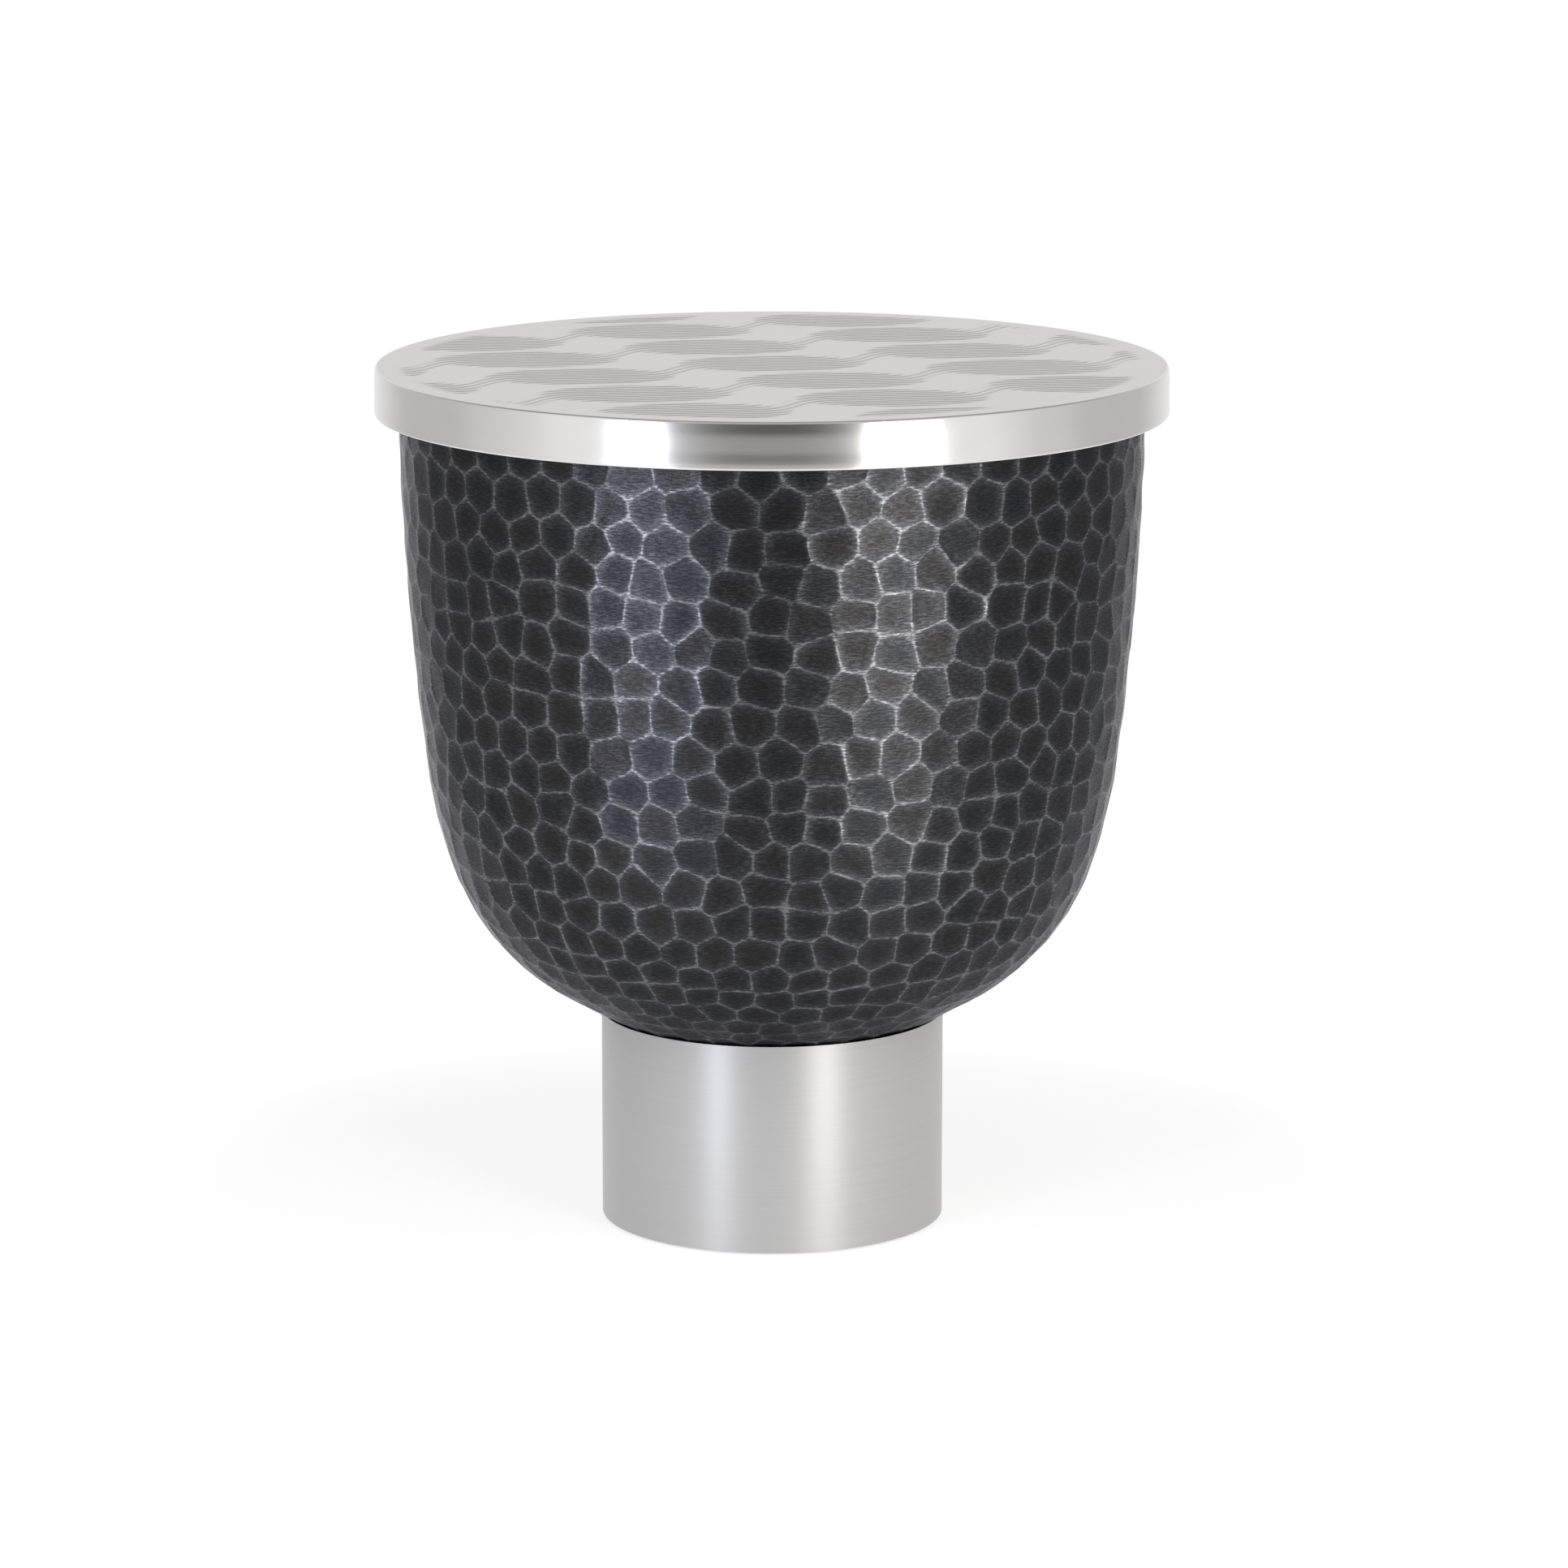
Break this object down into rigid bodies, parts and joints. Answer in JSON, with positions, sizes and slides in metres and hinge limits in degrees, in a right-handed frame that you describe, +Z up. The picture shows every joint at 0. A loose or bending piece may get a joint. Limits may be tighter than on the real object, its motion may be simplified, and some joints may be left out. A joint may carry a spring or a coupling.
{
  "type": "side table",
  "caption": "Round lidded side table: a hammered drum-shaped metal bowl on a narrow cylindrical foot, with a flat lift-off lid as its top.",
  "frame": {"origin": "on the floor at the centre of the foot", "axes": "+Z up along the table's axis; X and Y level, with -Y towards the picture's camera"},
  "size_m": [0.45, 0.45, 0.4955],
  "materials": {
    "polished_nickel": "polished nickel plate with an etched line pattern on top",
    "fibreboard": "bare medium-density board",
    "black_felt": "pressed felt",
    "blackened_metal": "hammered, blackened and rubbed back on the ridges",
    "zinc_plated_steel": "bright zinc plate",
    "brushed_nickel": "satin brushed nickel plate",
    "bare_steel": "mill finish",
    "concrete": "cast",
    "grey_felt": "pressed felt"
  },
  "bodies": {
    "table": {"bowl": "blackened_metal", "clamp_plate": "zinc_plated_steel", "clamp_bolt_1": "zinc_plated_steel", "clamp_bolt_2": "zinc_plated_steel", "clamp_bolt_3": "zinc_plated_steel", "clamp_bolt_4": "zinc_plated_steel", "bolt_washer_1": "zinc_plated_steel", "bolt_washer_2": "zinc_plated_steel", "bolt_washer_3": "zinc_plated_steel", "bolt_washer_4": "zinc_plated_steel", "weld_nut_1": "zinc_plated_steel", "weld_nut_2": "zinc_plated_steel", "weld_nut_3": "zinc_plated_steel", "weld_nut_4": "zinc_plated_steel", "base_sleeve": "brushed_nickel", "base_top_plate": "bare_steel", "foot_plate": "bare_steel", "ballast_core": "concrete", "floor_pad": "grey_felt"},
    "lid": {"lid_cap": "polished_nickel", "lid_board": "fibreboard", "lid_seat_felt": "black_felt"}
  },
  "joints": [
    {"name": "lid_lift", "type": "slide", "parent": "table", "child": "lid", "axis": [0, 0, 1], "range_m": [0, 0.3]}
  ]
}
